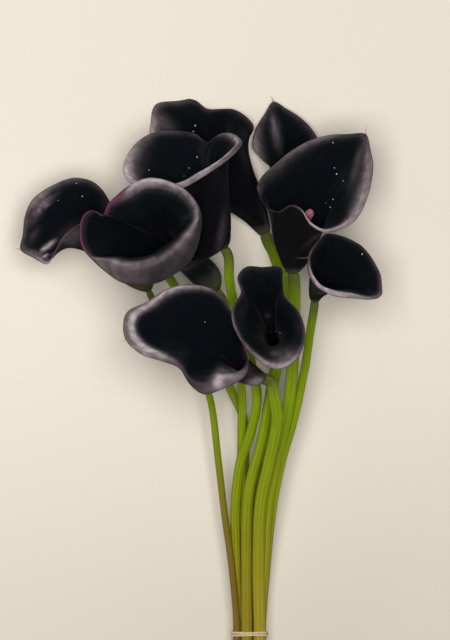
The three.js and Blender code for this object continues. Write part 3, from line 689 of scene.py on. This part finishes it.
def paint(funnel, u, run, curl, edge):
    """The painted sheen and crest highlight that pale the lip, and its margin's painted magenta glow."""
    soft, margin, crest, band = (look_up(table, u) for table in funnel.bloom)
    turn = np.where((curl > 0).any(1), (curl > 0).argmax(1), curl.shape[1]) - 1
    turn = run[np.arange(len(run)), turn]
    bell = np.hanning(9) / np.hanning(9).sum()
    turn = np.convolve(np.pad(turn, 4, mode="edge"), bell, mode="valid")[:, None]
    inward = np.exp(-((np.maximum(turn - run, 0) / soft) ** 1.3))
    # Painted highlight along the lip's crest and painted sheen beyond it, where the lip rolls over
    bloom = inward * (crest + (band - crest) * smoothstep(curl, 0.02, 0.35)) / 100
    # The margin's own magenta, painted bright as a glow of light through its thin edge
    rose = np.clip(margin / 0.6, 0, 1) * (1 - smoothstep(edge, 0.3 * margin, 1.2 * margin + 0.01))
    return bloom * (1 - 0.8 * rose), rose


def sheet_grid(funnel, seed):
    """The sheet's outer and inner faces as grids, with what its material needs to know."""
    calla = funnel.calla
    seam = funnel.share_of_point(calla["seam"])
    low_overlap, high_overlap = calla["overlap"]
    s = np.linspace(0, 1, AROUND + 1)[:, None]
    wall_steps, lip_steps = np.linspace(0, WALL_PART, ALONG + 1), np.linspace(WALL_PART, 1, LIP + 1)
    q = np.concatenate([wall_steps, lip_steps[1:]])[None, :]
    corner = np.clip(1 - np.minimum(s, 1 - s) / CORNER_WIDTH, 0, 1) ** CORNER_EASE
    q = q * (1 - calla["notch"] * corner)
    overlap = low_overlap + (high_overlap - low_overlap) * q**0.6
    u = seam - overlap / 2 + s * (1 + overlap)
    v = np.where(q < WALL_PART, q / WALL_PART, 1 + (q - WALL_PART) / (1 - WALL_PART))
    part = overlap / (1 + overlap)
    from_edge = 1 - s if calla["outside"] == "end" else s
    lift = OVERLAP_LIFT * (1 - smoothstep(from_edge, part, 2.2 * part + 0.03)) * smoothstep(q, 0, 0.06)
    outer, curl = funnel.surface(u, v)
    outer = outer + grid_normals(outer) * (lift + waves(seed, u, q))[..., None]
    normal = grid_normals(outer)
    across = np.minimum(s, 1 - s) * funnel.length_round * (0.2 + 0.8 * q)
    run = lengths(outer)
    down = run[:, -1:] - run
    thickness = FOOT_THICKNESS + (RIM_THICKNESS - FOOT_THICKNESS) * q
    thin = np.minimum(smoothstep(down, 0, RIM_THINNING), smoothstep(across, 0, EDGE_THINNING))
    thickness = EDGE_THICKNESS + (thickness - EDGE_THICKNESS) * thin
    inner = outer - normal * thickness[..., None]
    bloom, rose = paint(funnel, u, run, curl, np.minimum(across, down))
    # The painted sheen of the lip and the painted highlight patches, added together
    values = dict(
        around=u * 6.0, along=q, bloom=bloom + gleam(calla, outer),
        rose=rose * smoothstep(v, 0.95, 1.05), green=1 - smoothstep(q, 0.25 * calla["fade"], calla["fade"]),
    )
    return outer, inner, values


def add_sheet(shape, funnel, seed):
    """Adds the sheet's two faces, and the border between them."""
    outer, inner, values = sheet_grid(funnel, seed)
    rows, columns = outer.shape[:2]
    count = rows * columns
    face = quads(rows, columns, flip=True)
    faces = [face, face[:, ::-1] + count]
    first, foot = np.arange(columns), np.arange(rows) * columns
    for line in (first[::-1], foot[-1] + first, foot, (foot + columns - 1)[::-1]):
        a, b = line[:-1], line[1:]
        faces.append(np.stack([b, a, a + count, b + count], 1))
    values = {key: np.tile(np.ravel(value), 2) for key, value in values.items()}
    values["inside"] = np.repeat([0.0, 1.0], count)
    verts = np.concatenate([outer.reshape(-1, 3), inner.reshape(-1, 3)])
    shape.add(verts, np.concatenate(faces), **values)


def add_hair(shape, funnel, rng, index, length, way, dry):
    """Adds a dried end, a thread that curls a little."""
    tip = funnel.surface(np.array([funnel.share_of_point(index)]), np.array([2.0]))[0][0]
    t = np.linspace(HAIR_TAPER[0][0], 1, HAIR_STEPS)[:, None]
    curl = np.array([rng.uniform(-0.2, 0.2), rng.uniform(-0.1, 0.1), 0.25])
    line = tip + length * (unit(np.array(way, float)) * t + curl * t * t)
    shape.add(*tube(line, np.interp(t, *HAIR_TAPER) * np.ones((1, HAIR_SIDES))), dry=dry, along=1.0)


def build_spathe(name, seed, material):
    calla = CALLAS[name]
    funnel = Funnel(calla)
    shape = Shape(*SHEET_KEYS)
    add_sheet(shape, funnel, seed)
    surface = BVHTree.FromPolygons([tuple(p) for p in shape.verts[0]], shape.faces)
    rng = np.random.default_rng(seed + 500)
    for hair in calla["hairs"]:
        add_hair(shape, funnel, rng, *hair)
    for x, y, radius in calla["drops"]:
        above = Vector((*photo_place(x, y), DROP_SEARCH))
        place, normal, _, _ = surface.ray_cast(above, Vector((0, 0, -1)))
        normal = np.array(normal) * np.sign(normal.z)
        shape.add(*drop_shape(np.array(place), normal, radius), drop=1.0)
    shape.make(f"calla_spathe_{name}", f"spathe_{name}", material)
    return funnel


# ---- Stem and spadix ----
def stem_points(calla, aim):
    """Points that the stem's middle passes, from under its spathe to its cut end."""
    foot = np.array(calla["foot"], float)
    x, z = calla["tied"]
    places = [c["tied"][0] for c in CALLAS.values()]
    middle = (min(places) + max(places)) / 2
    return [
        foot - aim * SEAT_GAP, foot - aim * STEM_LEAD, *calla["stem"],
        (x, BAND_Y + TIED_LENGTH / 2, z), (x, BAND_Y - TIED_LENGTH / 2, z),
        (middle + (x - middle) * CUT_SPREAD, *calla["cut"]),
    ]


def build_stem(name, seed, material):
    calla = CALLAS[name]
    aim = unit(np.array(calla["aim"], float))
    points = stem_points(calla, aim)
    _, length = even_steps(points, 2)
    t, _ = even_steps(points, round(length / STEM_STEP))
    line = catmull(points, t)
    plug = line[0] + np.linspace(STEM_PLUG, PLUG_END, 4)[:, None] * aim
    line = np.vstack([plug, line])
    along = lengths(line) - STEM_PLUG - SEAT_GAP
    angle = circle(STEM_SIDES)
    rng = np.random.default_rng(seed)
    twist, phase = rng.uniform(-0.6, 0.6), rng.uniform(0, 2 * math.pi)
    flute = np.cos(STEM_RIBS * (angle[None] + twist * along[:, None] / length) + phase)
    uneven = 0.012 * np.sin(along / 37 + phase)
    radius = calla["radius"] * (0.98 + 0.02 * flute + uneven[:, None])
    radius[along < PLUG_END] *= PLUG_PART
    radius *= (0.92 + 0.08 * smoothstep(along[-1] - along, 0, 0.8))[:, None]
    rows = len(line)
    shape = Shape("along", "side", "other", "cut", "flute", "brown")
    shape.add(
        *tube(line, radius), along=np.repeat(along, STEM_SIDES), side=np.tile(np.cos(angle), rows),
        other=np.tile(np.sin(angle), rows), cut=np.repeat(np.arange(rows) == rows - 1, STEM_SIDES),
        flute=flute, brown=calla["brown"],
    )
    shape.make(f"calla_stem_{name}", f"stem_{name}", material)


def build_spadix(name, material, funnel):
    calla = CALLAS[name]
    tip = np.array(calla["spadix"], float)
    foot = funnel.surface(np.arange(COARSE) / COARSE, np.full(COARSE, SPADIX_FOOT))[0].mean(0)
    reach = np.linalg.norm(tip - foot)
    bend = (foot + tip) / 2 * (1 - SPADIX_STIFFNESS) + (foot + funnel.aim * reach / 2) * SPADIX_STIFFNESS
    points = [foot, foot + funnel.aim * SPADIX_RADIUS, bend, tip]
    t, _ = even_steps(points, SPADIX_STEPS)
    x = np.linspace(0, 1, SPADIX_STEPS)
    round_it, along_it = SPADIX_CELLS
    shift = (np.arange(SPADIX_STEPS) % 2)[:, None] * math.pi
    knobs = np.cos(round_it * circle(SPADIX_SIDES) + shift) * np.cos(x * along_it)[:, None]
    knob = 1 + (calla["knob"] - 1) * smoothstep(x, 0.6, 0.85)
    radius = SPADIX_RADIUS * (np.interp(x, *SPADIX_TAPER) * knob)[:, None] * (1 + 0.045 * knobs)
    shape = Shape("along", "blush")
    shape.add(*tube(catmull(points, t), radius), along=np.repeat(x, SPADIX_SIDES), blush=calla["blush"])
    shape.make(f"calla_spadix_{name}", f"spadix_{name}", material)


# ---- Rubber band ----
def band_loop(distance):
    """The tight loop round all the stems, this far from them, in even steps."""
    angle = circle(TIE_SIDES)
    points = []
    for calla in CALLAS.values():
        reach = calla["radius"] + distance
        points.append(calla["tied"] + reach * np.stack([np.cos(angle), np.sin(angle)], 1))
    points = np.concatenate(points)
    loop = points[convex_hull_2d(points.tolist())]
    loop = np.roll(loop, -np.lexsort((loop[:, 1], loop[:, 0]))[0], axis=0)
    closed = np.vstack([loop, loop[:1]])
    run = lengths(closed)
    share = np.arange(BAND_STEPS) / BAND_STEPS * run[-1]
    return np.stack([np.interp(share, run, closed[:, k]) for k in (0, 1)], 1)


def build_band(material):
    inner = band_loop(BAND_GAP + BAND_INSET)
    outer = band_loop(BAND_GAP + BAND_THICKNESS - BAND_INSET)
    out, middle = unit(outer - inner)[:, None], (inner + outer)[:, None] / 2
    step, angle = np.arange(BAND_STEPS)[:, None], circle(BAND_SIDES)[None]
    half = BAND_THICKNESS / 2 - BAND_INSET
    faces = quads(BAND_STEPS, BAND_SIDES, ring=True, closed=True, flip=True)
    shape = Shape()
    for turn, (place, half_width) in enumerate(BAND_TURNS):
        x, z = np.moveaxis(middle + out * half * np.cos(angle)[..., None], 2, 0)
        wave = BAND_WAVE * np.sin(step / BAND_STEPS * 6 * math.pi + turn * 2)
        y = BAND_Y + place + wave + half_width * np.sin(angle)
        shape.add(np.stack([x, y, z], 2), faces)
    shape.make("tie_band", "rubber_band", material)


# ---- Materials ----
class Nodes:
    """Short calls for building the node tree of a material or a world."""

    def __init__(self, owner, output, shader):
        owner.use_nodes = True
        self.owner, self.tree = owner, owner.node_tree
        self.tree.nodes.clear()
        self.shader, end = (self.tree.nodes.new("ShaderNode" + kind) for kind in (shader, output))
        self.tree.links.new(self.shader.outputs[0], end.inputs[0])

    def feed(self, socket, value):
        """Sets a socket to a number or a colour, or links another socket to it."""
        if isinstance(value, (int, float)):
            socket.default_value = value
        elif isinstance(value, tuple):
            socket.default_value = (*value, 1)
        else:
            self.tree.links.new(value, socket)

    def made(self, kind, inputs=(), output=0, **values):
        """Adds a node, feeds its inputs, and gives one of its outputs."""
        node = self.tree.nodes.new("ShaderNode" + kind)
        for key, value in values.items():
            setattr(node, key, value)
        for key, value in inputs:
            self.feed(node.inputs[key], value)
        return node.outputs[output]

    def set(self, **values):
        for key, value in values.items():
            self.feed(self.shader.inputs[key.replace("_", " ")], value)

    def attribute(self, name):
        return self.made("Attribute", output="Fac", attribute_name=name)

    def math(self, operation, *values):
        return self.made("Math", enumerate(values), operation=operation)

    def times(self, a, b):
        return self.math("MULTIPLY", a, b)

    def ramp(self, value, stops):
        colour = self.made("ValToRGB", [(0, value)])
        elements = colour.node.color_ramp.elements
        while len(elements) < len(stops):
            elements.new(0.5)
        for element, (position, shade) in zip(elements, stops):
            element.position, element.color = position, (*shade, 1)
        return colour

    def span(self, value, from_low, from_high, to_low=0.0, to_high=1.0):
        numbers = (value, from_low, from_high, to_low, to_high)
        return self.made("MapRange", enumerate(numbers), interpolation_type="SMOOTHSTEP")

    def vector(self, *parts):
        return self.made("CombineXYZ", enumerate(parts))

    def part(self, vector, axis):
        return self.made("SeparateXYZ", [(0, vector)], axis)

    def noise(self, vector, scale, detail=3.0):
        return self.made("TexNoise", (("Vector", vector), ("Scale", scale), ("Detail", detail)), "Fac")

    def place(self):
        return self.made("TexCoord", output="Object")

    def mix(self, factor, a, b, blend="MIX"):
        return self.made("Mix", ((0, factor), (6, a), (7, b)), 2, data_type="RGBA", blend_type=blend)

    def bump(self, height, strength, distance):
        inputs = (("Strength", strength), ("Distance", distance), ("Height", height))
        self.set(Normal=self.made("Bump", inputs))


def material_nodes(name):
    return Nodes(bpy.data.materials.new(name), "OutputMaterial", "BsdfPrincipled")


def spathe_material():
    n = material_nodes("spathe_skin")
    around, along, bloom, rose, green, inside, drop, dry = map(n.attribute, SHEET_KEYS)

    def grain(turns, run, scale, detail):
        """Noise with its own pattern on each face, finer round or along the sheet."""
        return n.noise(n.vector(n.times(around, turns), n.times(along, run), inside), scale, detail)

    streaks, blotch = grain(7.0, 1.6, 4.0, 4.0), grain(1.0, 1.0, 2.3, 2.0)
    mottle, veins = grain(2.2, 5.0, 3.0, 2.0), grain(28.0, 2.0, 3.0, 2.0)
    inner = n.mix(n.span(streaks, 0.35, 0.75), (0.0022, 0.0036, 0.005), (0.0042, 0.0058, 0.0075))
    outer = n.mix(n.span(streaks, 0.35, 0.75), (0.0025, 0.0023, 0.0034), (0.0048, 0.0043, 0.006))
    skin = n.mix(inside, outer, inner)
    skin = n.mix(n.span(blotch, 0.5, 0.8, 0, 0.3), skin, (0.005, 0.0036, 0.0065))
    # Painted sheen and highlight: a mottled pale mauve added over the skin where it is painted
    tint = n.ramp(bloom, [(0.0, (1, 0.8, 0.88)), (0.12, (1, 0.78, 0.84)), (0.35, (1, 0.86, 0.9))])
    sheen_mottle = n.times(n.span(mottle, 0.36, 0.66, 0.72, 1.2), n.span(streaks, 0.35, 0.65, 0.94, 1.05))
    skin = n.mix(n.times(bloom, sheen_mottle), skin, tint, "ADD")
    # The margin: its own magenta, painted as glowing with light through the thin edge
    skin = n.mix(n.times(rose, 0.9), skin, (0.13, 0.036, 0.075))
    leaf = n.mix(n.span(streaks, 0.35, 0.7), (0.028, 0.029, 0.024), (0.05, 0.053, 0.038))
    leaf = n.mix(n.span(green, 0.93, 1.0), leaf, (0.045, 0.053, 0.02))
    skin = n.mix(green, skin, leaf)
    skin = n.mix(dry, skin, (0.42, 0.33, 0.24))
    # Drops of water: a pale base colour as a painted glint of the lamps on them
    skin = n.mix(drop, skin, (0.6, 0.64, 0.68))
    rough = n.mix(drop, n.span(streaks, 0.3, 0.8, 0.36, 0.46), (0.08, 0.08, 0.08))
    shine = n.math("ADD", n.math("ADD", n.span(inside, 0, 1, 0.14, 0.07), n.times(bloom, 1.2)), drop)
    n.set(
        Base_Color=skin, Roughness=rough, IOR=1.5, Specular_IOR_Level=shine, Sheen_Weight=0.02,
        Sheen_Roughness=0.4, Sheen_Tint=(0.95, 0.86, 0.93),
    )
    n.bump(veins, 0.15, 0.0003)
    return n.owner


def stem_material():
    n = material_nodes("stem_skin")
    along = n.attribute("along")
    place = n.vector(n.attribute("side"), n.attribute("other"), n.times(along, 0.012))
    streaks, fine = n.noise(place, 5.0, 4.0), n.noise(place, 22.0, 2.0)
    skin = n.ramp(
        n.math("MULTIPLY_ADD", n.part(n.place(), "Y"), -3.0, 0.34),
        [
            (0.1, (0.16, 0.26, 0.002)), (0.3, (0.185, 0.27, 0.002)), (0.43, (0.235, 0.265, 0.004)),
            (0.6, (0.34, 0.26, 0.018)), (1.0, (0.33, 0.23, 0.03)),
        ],
    )
    skin = n.mix(n.span(along, 0, 20), (0.055, 0.066, 0.02), skin)
    skin = n.mix(n.span(streaks, 0.4, 0.75, 0, 0.4), skin, (0.36, 0.42, 0.03))
    skin = n.mix(n.span(fine, 0.55, 0.8, 0, 0.35), skin, (0.08, 0.11, 0.002))
    # Painted shade: darker green in the grooves between the ribs
    skin = n.mix(n.span(n.attribute("flute"), -1, 1, 0.35, 0), skin, (0.09, 0.12, 0.001))
    skin = n.mix(n.times(n.attribute("brown"), n.span(along, 60, 190)), skin, (0.15, 0.085, 0.018))
    skin = n.mix(n.attribute("cut"), skin, (0.5, 0.52, 0.3))
    n.set(
        Base_Color=skin, Roughness=n.span(fine, 0.3, 0.7, 0.42, 0.6), Subsurface_Weight=0.1,
        Subsurface_Scale=0.002, IOR=1.42, Specular_IOR_Level=0.22,
    )
    n.bump(n.math("ADD", streaks, n.times(fine, 0.5)), 0.35, 0.0004)
    return n.owner


def spadix_material():
    n = material_nodes("spadix_skin")
    cells = n.made("TexVoronoi", (("Vector", n.place()), ("Scale", 900)), "Distance")
    tip = n.mix(n.attribute("blush"), (0.003, 0.0028, 0.0035), (0.6, 0.2, 0.29))
    skin = n.mix(n.span(n.attribute("along"), 0.3, 0.95), (0.003, 0.0026, 0.0033), tip)
    skin = n.mix(n.span(cells, 0.2, 0.7, 0, 0.5), skin, (0.004, 0.003, 0.004))
    n.set(Base_Color=skin, Roughness=0.65)
    n.bump(cells, 0.5, 0.0003)
    return n.owner


def band_material():
    n = material_nodes("band_rubber")
    mottle = n.noise(n.place(), 300.0)
    n.set(
        Base_Color=n.mix(n.span(mottle, 0.35, 0.7), (0.62, 0.46, 0.27), (0.74, 0.6, 0.4)),
        Roughness=n.span(mottle, 0.3, 0.7, 0.4, 0.6), Subsurface_Weight=0.3, Subsurface_Scale=0.002,
        Transmission_Weight=0.25,
    )
    n.bump(mottle, 0.2, 0.0002)
    return n.owner


def floor_material():
    """Pale paper with painted shade: a little darker towards the camera's right and its two ends."""
    n = material_nodes("floor_paper")
    tooth = n.noise(n.place(), 400.0, 2.0)
    paper = n.mix(n.span(tooth, 0.3, 0.7), (0.825, 0.755, 0.65), (0.84, 0.77, 0.665))
    x, y = n.part(n.place(), "X"), n.part(n.place(), "Y")
    # Painted shade over the floor: darker towards its two ends and to the right
    low, high = n.span(y, -0.2, 0.12, 0.22, 0.0), n.span(y, 0.08, 0.28, 0.0, 0.03)
    shade = n.math("ADD", n.math("ADD", low, high), n.span(x, -0.15, 0.15, 0.0, 0.06))
    n.set(Base_Color=n.mix(shade, paper, (0, 0, 0)), Roughness=0.85)
    n.bump(tooth, 0.05, 0.0002)
    return n.owner


# ---- The bunch ----
spathe_skin, stem_skin, spadix_skin = spathe_material(), stem_material(), spadix_material()
for order, calla_name in enumerate(CALLAS):
    calla_funnel = build_spathe(calla_name, 11 + order, spathe_skin)
    build_stem(calla_name, 31 + order, stem_skin)
    build_spadix(calla_name, spadix_skin, calla_funnel)
build_band(band_material())


# ---- Stage ----
def build_floor():
    mesh = bpy.data.meshes.new("floor")
    h = FLOOR_HALF
    mesh.from_pydata([(-h, -h, 0), (h, -h, 0), (h, h, 0), (-h, h, 0)], [], [(0, 1, 2, 3)])
    mesh.materials.append(floor_material())
    floor = add_object("floor", mesh)
    floor.visible_glossy = False


def build_world():
    """A room that is pale near the horizon and dark overhead and below."""
    world = bpy.data.worlds.new("studio")
    bpy.context.scene.world = world
    n = Nodes(world, "OutputWorld", "Background")
    rise = n.part(n.made("TexCoord", output="Generated"), "Z")
    n.set(Color=n.ramp(n.math("MULTIPLY_ADD", rise, 0.5, 0.5), SKY))


def add_light(name, place, size, power, colour, glossy):
    data = bpy.data.lights.new(name, "AREA")
    data.shape = "RECTANGLE"
    data.size, data.size_y = size
    data.energy, data.color = power, colour
    light = add_object(name, data)
    light.location = place
    light.rotation_mode = "QUATERNION"
    light.rotation_quaternion = (Vector(LIGHT_TARGET) - Vector(place)).to_track_quat("-Z", "Y")
    light.visible_camera, light.visible_glossy = False, glossy


def build_camera():
    data = bpy.data.cameras.new("camera")
    camera = add_object("camera", data)
    bpy.context.scene.camera = camera
    x, y = photo_place(PHOTO_SIZE[0] / 2, PHOTO_SIZE[1] / 2)
    camera.location = ((x - SHIFT[0]) * MM, (y - SHIFT[1]) * MM, FOCUS_HEIGHT + CAMERA_DISTANCE)
    data.sensor_width = SENSOR
    data.lens = SENSOR * CAMERA_DISTANCE / (PHOTO_SIZE[1] * MM_PER_PIXEL * MM)
    data.clip_start, data.clip_end = 0.1, 100


build_floor()
build_world()
for light in LIGHTS:
    add_light(*light)
build_camera()
bpy.context.scene.view_settings.view_transform = "Standard"
